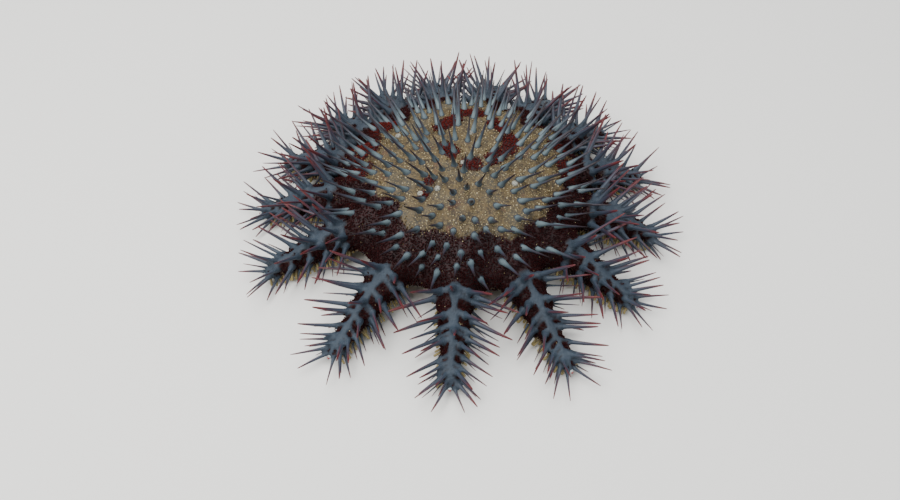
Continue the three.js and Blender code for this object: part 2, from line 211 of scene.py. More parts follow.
def planArmSpines(i, rows, tips, slim=1.0):
    outward = fromArm(i, 1.0, 0, 0)
    nearest = arm["rimRoom"] / (armReach[i] - disc["rim"])
    planned = []

    def plan(along, turn, scale, forward):
        base = lerp(armSpine["base"], armSpine["tipBase"], along) * (0.8 if scale < 0.8 else 1)
        short = scale < finerSlim["shortScale"]
        planned.append({
            "node": i, "size": scale, "turn": turn, "along": along,
            "root": armPoint(i, along, turn),
            "direction": unit(armNormal(i, along, turn) + outward * forward),
            "length": lerp(armSpine["length"], armSpine["tipLength"], along) * scale * (1 + spread(0.1)),
            "base": base * slim * (finerSlim["shortBase"] if short and slim < 1 else 1),
        })

    for turn, first, last, count, scale in rows:
        for side in (-1, 1) if turn else (1,):
            for k in range(count):
                along = lerp(first, last, k / (count - 1)) + spread(0.025)
                turned = side * turn + spread(5) + (0 if turn else (7 if k % 2 else -7))
                plan(min(max(along, nearest), 0.95), turned, scale, 0.25 + 0.45 * along)
    for turn in tips:
        plan(0.985, turn + spread(6), 0.85, 1.4)
    return planned


def thickness(base, along):
    waist = base * spineFit["waistWidth"]
    low = lerp(base, waist, along / spineFit["waist"])
    high = lerp(waist, spineFit["tip"], (along - spineFit["waist"]) / (1 - spineFit["waist"]))
    return np.where(along < spineFit["waist"], low, high)


def inBody(points, own, room):  # true where a point is in the disc or an arm, or too near to it
    radius = np.hypot(points[:, 0], points[:, 1])
    angle = np.degrees(np.arctan2(points[:, 1], points[:, 0]))
    if own != "disc":
        inDisc = (radius < rimRadius(angle) + room) & (
            points[:, 2] < discTop(np.minimum(radius, disc["rim"]), angle) + room)
        if inDisc.any():
            return True
    d = np.radians(armAngle)[None]
    x, y, z = points[:, 0, None], points[:, 1, None], points[:, 2, None]
    out = x * np.cos(d) + y * np.sin(d)
    across = np.abs(y * np.cos(d) - x * np.sin(d))
    along = (out - disc["rim"]) / (armReach - disc["rim"])
    half, top, under, middle = armSection(np.arange(len(arms))[None], along)
    room = room[:, None]
    tall = np.where(z > middle, top - middle, middle - under) + room
    inside = np.hypot(across / (half + room), (z - middle) / tall) < 1
    inside &= (out >= disc["rim"] - room) & (out <= armReach + arm["eye"] + room)
    if own != "disc":
        inside[:, own] = False
    return inside.any()


def isClear(spine, others):
    steps = np.arange(2, 9) / 8
    points = spine["root"] + spine["direction"] * spine["length"] * steps[:, None]
    thick = thickness(spine["base"], steps)
    inFloor = (points[:, 2] < thick + spineFit["floor"]).any()
    if inFloor or inBody(points, spine["node"], thick + spineFit["room"]):
        return False
    root, direction, length, base, node = others
    near = np.linalg.norm(root - spine["root"], axis=1) < spine["length"] + length + 6
    root, direction, length, base, node = root[near], direction[near], length[near], base[near], node[near]
    steps = np.arange(10) / 9
    points = spine["root"] + spine["direction"] * spine["length"] * steps[:, None]
    away = points[:, None] - root[None]
    along = np.clip(np.einsum("ijk,jk->ij", away, direction) / length, 0, 1)
    apart = np.linalg.norm(away - direction[None] * (along * length)[..., None], axis=2)
    gap = (apart - thickness(spine["base"], steps)[:, None] - thickness(base, along)).min(0)
    own = -1 if spine["node"] == "disc" else spine["node"]
    return (gap > np.where(node == own, -spineFit["ownOverlap"], spineFit["room"])).all()


def columns(spines):
    return [
        np.array([s["root"] for s in spines]).reshape(-1, 3),
        np.array([s["direction"] for s in spines]).reshape(-1, 3),
        np.array([s["length"] for s in spines], float),
        np.array([s["base"] for s in spines], float),
        np.array([-1 if s["node"] == "disc" else s["node"] for s in spines], int),
    ]


def placeSpines(planned, placed):  # turns a planned spine a little, then shortens it, until it is clear
    stubs = columns([{**spine, "length": spineFit["stub"]} for spine in planned])
    tries = [
        (short, math.tan(math.radians(ring)), k * math.pi / 4)
        for short in spineFit["shortenings"] for ring in spineFit["turnings"] for k in range(8 if ring else 1)
    ]
    for i, spine in enumerate(planned):
        others = [np.concatenate([a, np.delete(b, i, 0)]) for a, b in zip(columns(placed), stubs)]
        side = unit(np.cross([0, 0, 1], spine["direction"]))
        up = unit(np.cross(spine["direction"], side))
        for short, size, a in tries:
            turned = unit(spine["direction"] + up * size * math.cos(a) + side * size * math.sin(a))
            tried = {**spine, "direction": turned, "length": spine["length"] * short}
            if isClear(tried, others):
                placed.append(tried)
                break
    return placed


planned = planDiscSpines(discSpine["count"], discSpine["shift"], 1)
for i in range(len(arms)):
    planned += planArmSpines(i, spineRows, tipTurns)
spines = placeSpines(planned, [])
mainCount = len(spines)
finer = []
for spine in planDiscSpines(finerDisc["count"], finerDisc["shift"], finerDisc["scale"]):
    nearest = min(np.linalg.norm(spine["root"] - other["root"]) for other in spines + finer)
    if nearest > finerDisc["apart"]:
        finer.append(spine)
for i in range(len(arms)):
    rows = finerRows + (denseRows if i in denseArms else [])
    finer += planArmSpines(i, rows, finerTips, finerSlim["base"])
spines = placeSpines(finer, spines)
report(f"{mainCount} main and {len(spines) - mainCount} finer spines laid out")


# Hands: operators on one object, joined copies of one template, attributes

def bare():
    if bpy.context.object and bpy.context.object.mode != "OBJECT":
        bpy.ops.object.mode_set(mode="OBJECT")
    bpy.ops.object.select_all(action="DESELECT")


def named(name):
    piece = bpy.context.object
    piece.name = name
    piece.data.name = name
    return piece


def points(piece):
    found = np.empty(len(piece.data.vertices) * 3)
    piece.data.vertices.foreach_get("co", found)
    return found.reshape(-1, 3)


def setPoints(piece, found):
    piece.data.vertices.foreach_set("co", np.ascontiguousarray(found, np.float32).ravel())
    piece.data.update()


def normals(piece):
    found = np.empty(len(piece.data.vertices) * 3)
    piece.data.vertex_normals.foreach_get("vector", found)
    return found.reshape(-1, 3)


def setShare(piece, name, values):  # a number at every vertex, that a material reads by its name
    layer = piece.data.attributes.new(name, "FLOAT", "POINT")
    layer.data.foreach_set("value", np.ascontiguousarray(values, np.float32))


def polygonsOf(piece):
    return [tuple(p.vertices) for p in piece.data.polygons]


def removed(piece):
    mesh = piece.data
    bpy.data.objects.remove(piece)
    bpy.data.meshes.remove(mesh)


def joinedCopies(name, template, frames, uvCells=None, templateUv=None, patch=0.003):
    # one mesh with a copy of the template for each frame, a 3x4 array of its axes and its place
    corner = points(template)
    faces = polygonsOf(template)
    frames = np.asarray(frames, float)
    placed = np.einsum("nij,vj->nvi", frames[:, :, :3], corner) + frames[:, None, :, 3]
    mesh = bpy.data.meshes.new(name)
    loops = np.concatenate([np.array(f) for f in faces])
    sizes = np.array([len(f) for f in faces])
    count = len(frames)
    every = (loops[None] + np.arange(count)[:, None] * len(corner)).ravel()
    mesh.vertices.add(count * len(corner))
    mesh.vertices.foreach_set("co", (placed * metre).astype(np.float32).ravel())
    mesh.loops.add(len(every))
    mesh.loops.foreach_set("vertex_index", every.astype(np.int32))
    mesh.polygons.add(count * len(faces))
    starts = np.concatenate([[0], np.cumsum(np.tile(sizes, count))[:-1]])
    mesh.polygons.foreach_set("loop_start", starts.astype(np.int32))
    mesh.polygons.foreach_set("use_smooth", np.ones(count * len(faces), bool))
    mesh.update(calc_edges=True)
    if uvCells is not None:
        layer = mesh.uv_layers.new(name="OFBake")
        local = templateUv[loops]
        uv = uvCells[:, None, :] + (local[None] - 0.5) * patch
        layer.data.foreach_set("uv", uv.astype(np.float32).ravel())
    mesh.validate()
    piece = bpy.data.objects.new(name, mesh)
    bpy.context.scene.collection.objects.link(piece)
    return piece


def basis(direction, roll):  # axes whose third one is the direction, for arrays of directions
    direction = direction / np.linalg.norm(direction, axis=-1, keepdims=True)
    helper = np.where(np.abs(direction[..., 2:3]) > 0.95, [1.0, 0, 0], [0, 0, 1.0])
    side = np.cross(helper, direction)
    side /= np.linalg.norm(side, axis=-1, keepdims=True)
    other = np.cross(direction, side)
    roll = roll[..., None]
    return (side * np.cos(roll) + other * np.sin(roll), other * np.cos(roll) - side * np.sin(roll), direction)


def framesOf(roots, directions, rolls, widths, lengths):
    x, y, z = basis(np.asarray(directions), np.zeros(len(roots)) + rolls)
    wide, long = np.asarray(widths)[:, None], np.asarray(lengths)[:, None]
    return np.stack([x * wide, y * wide, z * long, np.asarray(roots)], -1)


def gridCells(count):  # a square grid of places for the patches of an unwrap
    side = math.ceil(math.sqrt(count))
    k = np.arange(count)
    return np.stack([(k % side + 0.5) / side, (k // side + 0.5) / side], 1), 0.92 / side


def spunCopies(name, template, frames):  # copies with a patch each, and their share from root to tip
    corner = points(template)
    around = np.arctan2(corner[:, 1], corner[:, 0]) / (2 * np.pi) + 0.5
    along = np.clip(corner[:, 2], 0, 1)
    uvCells, patch = gridCells(len(frames))
    piece = joinedCopies(name, template, frames, uvCells, 0.05 + 0.9 * np.stack([around, along], 1), patch)
    setShare(piece, "along", np.tile(along, len(frames)))
    return piece


def applied(piece, kind, **settings):
    bare()
    bpy.context.view_layer.objects.active = piece
    piece.select_set(True)
    made = piece.modifiers.new(kind.title(), kind)
    for key, value in settings.items():
        setattr(made, key, value)
    bpy.ops.object.modifier_apply(modifier=made.name)


def startEdit():
    bpy.ops.object.mode_set(mode="EDIT")
    bpy.ops.mesh.select_all(action="SELECT")


def endEdit():  # with all faces looking outwards
    bpy.ops.mesh.select_all(action="SELECT")
    bpy.ops.mesh.normals_make_consistent(inside=False)
    bpy.ops.object.mode_set(mode="OBJECT")


def spunRings(name, sides, rings, tipClosed=True):
    # a circle that is extruded ring by ring along z, as (height, width) pairs, and closed at its ends
    bare()
    bpy.ops.mesh.primitive_circle_add(vertices=sides, radius=1, fill_type="NGON")
    piece = named(name)
    startEdit()
    bpy.ops.transform.translate(value=(0, 0, rings[0][0]))
    bpy.ops.transform.resize(value=(rings[0][1], rings[0][1], 1))
    for (low, wide), (high, narrow) in zip(rings, rings[1:]):
        bpy.ops.mesh.extrude_region_move(TRANSFORM_OT_translate={"value": (0, 0, high - low)})
        bpy.ops.transform.resize(value=(narrow / wide, narrow / wide, 1))
    if tipClosed:
        bpy.ops.mesh.merge(type="CENTER")
    endEdit()
    return piece


# Shader nodes: a socket that takes sums, and one way to add any other node

class Wire:
    tree = None

    def __init__(self, socket):
        self.socket = socket

    @staticmethod
    def node(kind, settings=None, inputs=None, output=0):
        made = Wire.tree.nodes.new(kind)
        for key, value in (settings or {}).items():
            setattr(made, key, value)
        for key, value in (inputs or {}).items():
            if isinstance(value, Wire):
                Wire.tree.links.new(value.socket, made.inputs[key])
            else:
                made.inputs[key].default_value = value
        return Wire(made.outputs[output])

    def math(self, operation, other=None, turned=False):
        pair = (self,) if other is None else (other, self) if turned else (self, other)
        return Wire.node("ShaderNodeMath", {"operation": operation}, dict(enumerate(pair)))

    def __add__(self, other):
        return self.math("ADD", other)

    def __sub__(self, other):
        return self.math("SUBTRACT", other)

    def __rsub__(self, other):
        return self.math("SUBTRACT", other, True)

    def __mul__(self, other):
        return self.math("MULTIPLY", other)

    __radd__ = __add__
    __rmul__ = __mul__

    def between(self, low, high):  # 0 at low, 1 at high, smooth in between
        return Wire.node("ShaderNodeMapRange", {"interpolation_type": "SMOOTHSTEP"},
                         {0: self, 1: low, 2: high, 3: 0.0, 4: 1.0})


def linear(hexColour):
    parts = [int(hexColour[k:k + 2], 16) / 255 for k in (0, 2, 4)]
    return tuple(c / 12.92 if c < 0.04045 else ((c + 0.055) / 1.055) ** 2.4 for c in parts) + (1.0,)


def colour(value):
    return linear(value) if isinstance(value, str) else value


def mixed(first, second, factor):
    inputs = {0: factor, 6: colour(first), 7: colour(second)}
    return Wire.node("ShaderNodeMix", {"data_type": "RGBA"}, inputs, 2)


def layered(base, *layers):  # each layer is a colour and its share
    for tone, factor in layers:
        base = mixed(base, tone, factor)
    return base


def share(name):
    return Wire.node("ShaderNodeAttribute", {"attribute_name": name}, output=2)


def place():
    return Wire.node("ShaderNodeTexCoord", output=3)


def noise(scale, detail=3.0, roughness=0.55):
    return Wire.node("ShaderNodeTexNoise", {}, {
        "Vector": place(), "Scale": scale, "Detail": detail, "Roughness": roughness})


def cells(scale):
    return Wire.node("ShaderNodeTexVoronoi", {}, {"Vector": place(), "Scale": scale})


def waves(scale, distortion, **settings):
    return Wire.node("ShaderNodeTexWave", settings, {
        "Vector": place(), "Scale": scale, "Distortion": distortion})


def bumped(height, strength, distance, normal=None):
    sockets = {"Height": height, "Strength": strength, "Distance": distance}
    if normal:
        sockets["Normal"] = normal
    return Wire.node("ShaderNodeBump", {}, sockets)


def finish(name, makeParts, **constants):
    material = bpy.data.materials.new(name)
    material.use_nodes = True
    Wire.tree = material.node_tree
    shader = material.node_tree.nodes["Principled BSDF"]
    for key, value in constants.items():
        shader.inputs[key.replace("_", " ")].default_value = value
    for key, wire in makeParts().items():
        Wire.tree.links.new(wire.socket, shader.inputs[key])
    return material


# The body: disc, arms and the pedestals of the spines, fused into one skin

skinSizes = {
    "discSegments": 150, "discRings": 60, "armSides": 28, "armSteps": 22, "voxel": 1.35,
    "groove": 4.5, "grooveWidth": 4.0, "ridge": 0.35, "web": 3.3, "pit": 1.9,
    "notch": 5, "shoulder": 0.32, "shoulderPower": 0.6,
    "armStart": -0.28, "armSpacing": 0.85, "armGroove": 0.8, "grooveShare": 0.25,
}
# round each spine: from how far inside to how far up its skin is blue, and how softly that ends
blueRoots = {"disc": (2, 6, 1.2), "arm": (2, 10, 1.8)}
collar = {
    "sunk": 2.5, "sides": 12, "rings": [(0, 1.05), (0.26, 0.84), (0.5, 0.66), (0.75, 0.55), (1, 0.44)],
    "disc": {"width": 1.1, "height": 5.5}, "arm": {"width": 1.2, "height": 9.5},
}
leastSize = 0.5  # shorter spines, by their share of the full length, have no collar and no blue skin
crown = np.array([8.0, 24.0])  # middle of the ring of red patches, which is set back on the dome


def underGroove(out, across):  # the groove for the tube feet, along the middle of every arm
    ends = smoothstep(out, disc["mouth"] + 2, disc["mouth"] + 14)
    return skinSizes["groove"] * np.exp(-(across / skinSizes["grooveWidth"]) ** 2) * ends


def makeDiscForm():
    bare()
    bpy.ops.mesh.primitive_uv_sphere_add(
        segments=skinSizes["discSegments"], ring_count=skinSizes["discRings"], radius=1)
    piece = named("discForm")
    p = points(piece)
    angle = np.degrees(np.arctan2(p[:, 1], p[:, 0]))
    offset, valley = nearestArm(angle)[1:]
    radius = (disc["rim"] - skinSizes["notch"] * valley ** 2) * np.hypot(p[:, 0], p[:, 1])
    top = discTop(radius, angle)
    under = discUnder(radius) + underGroove(radius, radius * np.sin(np.radians(offset)))
    middle = (top + under) / 2
    rounded = np.clip(np.abs(p[:, 2]) / skinSizes["shoulder"], 0, 1) ** skinSizes["shoulderPower"]
    z = np.where(p[:, 2] > 0, lerp(middle, top, rounded), lerp(middle, under, rounded))
    a = np.radians(angle)
    setPoints(piece, np.stack([radius * np.cos(a), radius * np.sin(a), z], 1) * metre)
    return piece


def makeArmForm(i):
    bare()
    bpy.ops.mesh.primitive_circle_add(vertices=skinSizes["armSides"], radius=metre, fill_type="NGON")
    piece = named("armForm")
    startEdit()
    for _ in range(skinSizes["armSteps"]):
        bpy.ops.mesh.extrude_region_move(TRANSFORM_OT_translate={"value": (0, 0, metre)})
    bpy.ops.object.mode_set(mode="OBJECT")
    p = points(piece) / metre
    level = np.round(p[:, 2]) / skinSizes["armSteps"]
    along = np.where(level < 0.999, lerp(skinSizes["armStart"], 1.0, level ** skinSizes["armSpacing"]), 1.0)
    turn = np.degrees(np.arctan2(p[:, 0], p[:, 1]))
    shaped = armPoint(i, along, turn)
    half = armSection(i, along)[0]
    d = math.radians(armAngle[i])
    across = shaped[:, 1] * math.cos(d) - shaped[:, 0] * math.sin(d)
    below = np.cos(np.radians(turn)) < -0.3
    furrow = np.exp(-(across / (half * skinSizes["grooveShare"] + 1)) ** 2)
    shaped[:, 2] += below * skinSizes["groove"] * skinSizes["armGroove"] * furrow
    wave = 1 + 0.05 * np.sin(along * 23 + i * 1.7) + 0.035 * np.sin(along * 51 + i)
    shaped[:, 0] += across * (wave - 1) * -math.sin(d)
    shaped[:, 1] += across * (wave - 1) * math.cos(d)
    setPoints(piece, shaped * metre)
    startEdit()
    endEdit()
    return piece


def makePedestals():  # flared collars that the spines grow from
    roots, directions, wide, tall = [], [], [], []
    for spine in spines:
        if spine["size"] < leastSize:
            continue
        sizes = collar["disc" if spine["node"] == "disc" else "arm"]
        roots.append(spine["root"] - spine["direction"] * collar["sunk"])
        directions.append(spine["direction"])
        wide.append(spine["base"] * sizes["width"])
        tall.append(sizes["height"])
    template = spunRings("collar", collar["sides"], collar["rings"], False)
    piece = joinedCopies("pedestals", template, framesOf(roots, directions, 0, wide, tall))
    removed(template)
    return piece


def joined(name, parts):
    bare()
    for part in parts:
        part.select_set(True)
    bpy.context.view_layer.objects.active = parts[0]
    bpy.ops.object.join()
    return named(name)


armForms = [makeArmForm(i) for i in range(len(arms))]
bodySkin = joined("bodySkin", [makeDiscForm(), *armForms, makePedestals()])
applied(bodySkin, "REMESH", mode="VOXEL", voxel_size=skinSizes["voxel"] * metre, use_smooth_shade=True)
applied(bodySkin, "SMOOTH", factor=0.5, iterations=3)
report(f"skin fused, {len(bodySkin.data.polygons)} faces")


def segmentDistance(found, start, end):
    line = end - start
    t = np.clip((found - start) @ line / (line @ line), 0, 1)
    return np.linalg.norm(found - start - t[:, None] * line, axis=1)


def skinZones(found):  # what each place of the skin is: on an arm and how far along, and its zone
    radius = np.hypot(found[:, 0], found[:, 1])
    angle = np.degrees(np.arctan2(found[:, 1], found[:, 0]))
    index, offset, valley = nearestArm(angle)
    out = radius * np.cos(np.radians(offset))
    across = radius * np.sin(np.radians(offset))
    along = (out - disc["rim"]) / (armReach[index] - disc["rim"])
    half, top, under, middle = armSection(index, along)
    above = (found[:, 2] - middle) / (top - middle)
    inner = np.minimum(radius, disc["rim"])
    floorOf = discUnder(inner)
    height = (found[:, 2] - floorOf) / (discTop(inner, angle) - floorOf)
    onTop = np.where(along > 0, smoothstep(above, -0.9, -0.2), smoothstep(height, 0.16, 0.3))
    return {
        "radius": radius, "angle": angle, "index": index, "across": across, "along": along,
        "half": half, "above": above, "valley": valley, "dorsal": onTop,
    }


def blueShares(found, zones):  # the smooth blue-grey skin of ridges, webs and pedestals
    blue = np.zeros(len(found))
    for spine in spines:
        if spine["size"] < leastSize:
            continue
        onDisc = spine["node"] == "disc"
        inside, up, soft = blueRoots["disc" if onDisc else "arm"]
        start = spine["root"] - spine["direction"] * inside
        end = spine["root"] + spine["direction"] * up
        near = np.where(np.abs(found - spine["root"]).max(1) < 22)[0]
        room = spine["base"] * 0.95
        reach = segmentDistance(found[near], start, end)
        blue[near] = np.maximum(blue[near], 1 - smoothstep(reach, room, room + soft))
        if not onDisc and abs(spine["turn"]) < 80:  # a web up to the ridge
            ridge = armPoint(spine["node"], spine["along"] - 0.03, 0)
            reach = segmentDistance(found[near], spine["root"], ridge)
            web = skinSizes["web"] * (1 - 0.35 * spine["along"])
            blue[near] = np.maximum(blue[near], 1 - smoothstep(reach, web * 0.4, web * 1.5))
    swell = 0.75 + 0.3 * np.sin(zones["along"] * 21 + zones["index"] * 1.7)
    back = np.abs(zones["across"]) / (zones["half"] * 0.32 * swell + 1.2)
    onRidge = (1 - smoothstep(back, 0.5, 1.15)) * smoothstep(zones["along"], -0.09, 0.03)
    blue = np.maximum(blue, onRidge * smoothstep(zones["above"], 0.2, 0.6))
    return blue * smoothstep(zones["above"], -1.0, -0.4)


skinAt = points(bodySkin) / metre
zones = skinZones(skinAt)
blue = blueShares(skinAt, zones)
lift = (blue * skinSizes["ridge"] - (1 - blue) * skinSizes["pit"]) * smoothstep(zones["along"], -0.1, 0.05)
lift *= zones["dorsal"]
setPoints(bodySkin, (skinAt + normals(bodySkin) * lift[:, None]) * metre)
applied(bodySkin, "SMOOTH", factor=0.5, iterations=2)
skinAt = points(bodySkin) / metre

# the broken red ring: where each patch lies round the crown, how far it spans and its distance
redPatches = [
    (135, 30, 30), (95, 24, 37), (42, 24, 29), (-8, 26, 31), (-48, 22, 28), (-92, 18, 30), (-142, 24, 24),
]
outerPatches = [  # across, back and size
    (-26, -24, 5), (-30, -37, 5), (-80, 24, 13), (-82, -2, 10), (-66, 52, 12), (84, 8, 10), (79, 34, 9),
]
sandEdge = {"radius": 84, "valley": 15, "soft": 6}
sandBays = [(-90, 35, 8), (-138, 26, 15), (-48, 24, 6)]  # where the edge draws in: angle, spread, depth


def ringShare(found):
    away = found[:, :2] - crown
    distance = np.hypot(away[:, 0], away[:, 1])
    angle = np.degrees(np.arctan2(away[:, 1], away[:, 0]))
    ring = np.zeros(len(found))
    for middle, span, far in redPatches:
        turn = turnTo(middle, angle) / span
        ring = np.maximum(ring, np.exp(-(turn ** 4)) * np.exp(-((distance - far) / 7.5) ** 4))
    for x, y, size in outerPatches:
        ring = np.maximum(ring, np.exp(-(np.hypot(found[:, 0] - x, found[:, 1] - y) / size) ** 4))
    return ring


def sandyShare(found):  # the sandy skin ends in a wavy edge, which the valleys cut into
    z = skinZones(found)
    turn = np.radians(z["angle"])
    edge = sandEdge["radius"] - sandEdge["valley"] * (z["valley"] - 0.4)
    edge += 4 * np.sin(turn * 5) + 3.5 * np.sin(turn * 13 + 0.7)
    for angle, across, depth in sandBays:
        edge -= depth * np.exp(-(turnTo(angle, z["angle"]) / across) ** 2)
    return (1 - smoothstep(z["radius"], edge - sandEdge["soft"], edge + sandEdge["soft"])) * z["dorsal"]


ring = ringShare(skinAt)
sandy = sandyShare(skinAt)
red = np.clip(np.maximum(ring, 1 - sandy), 0, 1) * zones["dorsal"]
for name, values in (("blue", blue), ("sandy", sandy), ("ring", ring), ("dorsal", zones["dorsal"])):
    setShare(bodySkin, name, values)
report("skin's zones set")


def skinParts():
    blueness, sandiness, redness, dorsal = [share(name) for name in ("blue", "sandy", "ring", "dorsal")]
    cloud, fine, grain = noise(38.0, 4.0), noise(420.0, 2.0), cells(620.0)
    speck = cells(210.0)
    rough = (cloud - 0.5) * 0.5 + (fine - 0.5) * 0.5
    mottle = noise(120.0, 5.0, 0.7)
    sand = layered(
        "50432b", ("2f271c", mottle.between(0.38, 0.6)), ("3d3b33", cloud.between(0.46, 0.66) * 0.8),
        ("6b5b3c", grain.between(0.75, 0.25) * 0.45), ("4d1a16", noise(70.0).between(0.6, 0.72) * 0.35),
        ("a89c80", (1 - speck.between(0.1, 0.19)) * 0.7))
    dark = layered(
        "180405", ("2a0708", fine.between(0.35, 0.7)), ("0e0304", cloud.between(0.45, 0.7) * 0.7))
    # painted highlight: the blue-grey ridge skin is lighter at the middle of ridges, webs and pedestals,
    # where the blue share is highest, and darker at their edges; the fine lighter flecks are small painted
    # highlights
    ridge = layered(
        "1c2028", ("2c3742", (blueness + (cloud - 0.5) * 0.9).between(0.55, 1.1)),
        ("414d57", fine.between(0.55, 0.8) * 0.3))
    belly = mixed("8a724b", "6a5739", cloud.between(0.3, 0.7))
    inRing = (redness + rough * 0.8).between(0.42, 0.6)
    inSand = (sandiness + rough * 0.5).between(0.4, 0.62) * (1 - inRing)
    base = layered(dark, (sand, inSand), (ridge, (blueness + rough * 0.22).between(0.38, 0.72)))
    base = mixed(belly, base, (dorsal + rough * 0.4).between(0.2, 0.6))
    bump = bumped(grain, 0.6, 0.0005)
    bump = bumped(fine, 0.5, 0.0006, bump)
    bump = bumped((1 - speck.between(0.08, 0.22)) * inSand, 0.7, 0.0008, bump)
    return {"Base Color": base, "Roughness": 0.5 + fine * 0.25, "Normal": bump}


bodySkin.data.materials.append(finish("spinedSkin", skinParts, Specular_IOR_Level=0.3))

# Spines: stout ones on the arms and slim ones on the disc, each copied from its template

# how far along the spine and how wide, as shares of its length and base
stoutRings = [
    (-0.08, 0.92), (0, 0.9), (0.07, 0.76), (0.16, 0.64), (0.3, 0.56), (0.46, 0.49),
    (0.62, 0.41), (0.78, 0.32), (0.9, 0.23), (0.97, 0.16), (1, 0.06),
]
slimRings = [
    (-0.08, 0.9), (0, 0.93), (0.08, 0.87), (0.17, 0.71), (0.3, 0.55), (0.46, 0.44),
    (0.62, 0.35), (0.78, 0.26), (0.9, 0.17), (0.97, 0.11), (1, 0.04),
]


def makeSpineTemplate(rings):  # a little curved, flattened, with two keels
    piece = spunRings("spineTemplate", 10, rings)
    corner = points(piece)
    around = np.arctan2(corner[:, 1], corner[:, 0])
    corner[:, 0] *= 1 + 0.16 * np.abs(np.cos(around)) ** 6 * smoothstep(corner[:, 2], 0.02, 0.4)
    corner[:, 1] *= lerp(1, 0.8, smoothstep(corner[:, 2], 0.05, 0.5))
    corner[:, 0] += 0.13 * np.sin(np.clip(corner[:, 2], 0, 1) * np.pi * 0.9)
    setPoints(piece, corner)
    return piece


def makeSpines(name, nodes, rings, material):
    chosen = [spine for spine in spines if spine["node"] in nodes]
    rng = np.random.default_rng(len(chosen))
    template = makeSpineTemplate(rings)
    corner = points(template)
    around = np.arctan2(corner[:, 1], corner[:, 0])
    roots, directions, length, base, _ = columns(chosen)
    frames = framesOf(roots, directions, rng.uniform(0, 6.28, len(chosen)), base, length)
    piece = spunCopies(name, template, frames)
    removed(template)
    setShare(piece, "keel", np.tile(np.abs(np.cos(around)) ** 3, len(chosen)))
    setShare(piece, "tint", np.repeat(rng.uniform(0, 1, len(chosen)), len(corner)))
    piece.data.materials.append(material)
    return piece


def spineParts(rootColour, bodyColour, keelColour, tipColour, tipStart):
    def parts():
        along, tint, fine = share("along"), share("tint"), noise(900.0, 2.0)
        where = along + (fine - 0.5) * 0.08 + (tint - 0.5) * 0.2
        keel = (share("keel") + (fine - 0.5) * 0.4).between(0.55, 0.9)
        shaft = layered(
            rootColour, (bodyColour, where.between(0.02, 0.36)), ("2b2433", where.between(0.3, 0.7) * 0.85),
            (keelColour, keel * where.between(0.12, 0.5) * 0.8), (tipColour, where.between(tipStart, 0.9)))
        return {"Base Color": shaft, "Roughness": 0.42 + fine * 0.2, "Normal": bumped(fine, 0.35, 0.0003)}
    return parts


discParts = spineParts("5c6b70", "313d46", "2c2027", "1c1015", 0.5)
armParts = spineParts("2f3a46", "2d3542", "4a212b", "561d20", 0.58)
discFinish = finish("discSpineFinish", discParts, Specular_IOR_Level=0.45)
armFinish = finish("armSpineFinish", armParts, Specular_IOR_Level=0.45)
frontArms, backArms = (0, 1, 2, 3, 12, 13, 14), range(4, 12)
discSpines = makeSpines("discSpines", ["disc"], slimRings, discFinish)
frontSpines = makeSpines("frontArmSpines", frontArms, stoutRings, armFinish)
backSpines = makeSpines("backArmSpines", backArms, stoutRings, armFinish)
report("spines made")

# Papulae: the fuzz of small soft fingers, red in the pits and over the disc's edge

fuzz = {"count": 24000, "width": 0.5, "length": 1.7, "pieces": 3, "apart": 0.95}
grains = {"count": 3000, "width": 0.48, "length": 0.45, "apart": 2.0}

skinAt = points(bodySkin) / metre
skinNormals = normals(bodySkin)
bodySkin.data.calc_loop_triangles()
triangles = np.empty(len(bodySkin.data.loop_triangles) * 3, np.int32)
bodySkin.data.loop_triangles.foreach_get("vertices", triangles)
triangles = triangles.reshape(-1, 3)
first, second, third = skinAt[triangles.T]
area = np.linalg.norm(np.cross(second - first, third - first), axis=1) / 2


def scattered(count, weight, rng, apart):  # roots and normals of places on the skin, spaced apart
    chance = area * weight[triangles].mean(1)
    picked = rng.choice(len(triangles), count * 3, p=chance / chance.sum())
    a, b = rng.random((2, count * 3))
    flip = a + b > 1
    a, b = np.where(flip, 1 - a, a), np.where(flip, 1 - b, b)
    shares = np.stack([1 - a - b, a, b], 1)[..., None]
    roots = (skinAt[triangles[picked]] * shares).sum(1)
    up = (skinNormals[triangles[picked]] * shares).sum(1)
    kept, taken = [], set()
    for k, cell in enumerate(map(tuple, np.floor(roots / apart).astype(int))):
        if cell not in taken:
            taken.add(cell)
            kept.append(k)
            if len(kept) == count:
                break
    return roots[kept], up[kept]


def skinUnwrap(found):  # the skin laid flat: the disc's two faces as circles, every arm as a strip
    z = skinZones(found)
    turn = np.degrees(np.arctan2(z["across"] / np.maximum(z["half"], 1), z["above"]))
    column = (z["index"] + 0.06 + 0.88 * (turn + 180) / 360) / len(arms)
    strip = np.stack([column, 0.52 + 0.46 * np.clip(z["along"], 0, 1)], 1)
    a = np.radians(z["angle"])
    circle = 0.25 + np.stack([np.cos(a), np.sin(a)], 1) * z["radius"][:, None] / 480
    circle[:, 0] += np.where(z["dorsal"] > 0.5, 0, 0.5)
    return np.where((z["along"] > 0.02)[:, None], strip, circle)


def makeTufts(name, template, roots, up, widths, lengths, material, rng):
    lean = up + rng.normal(0, 0.16, up.shape)
    frames = framesOf(roots - up * 0.25, lean, rng.uniform(0, 6.28, len(roots)), widths, lengths)
    around = points(template)
    piece = joinedCopies(name, template, frames, skinUnwrap(roots), 0.5 + around[:, :2] * 0.4)
    setShare(piece, "along", np.tile(np.clip(around[:, 2], 0, 1), len(roots)))
    setShare(piece, "tint", np.repeat(rng.random(len(roots)), len(around)))
    piece.data.materials.append(material)
    return piece


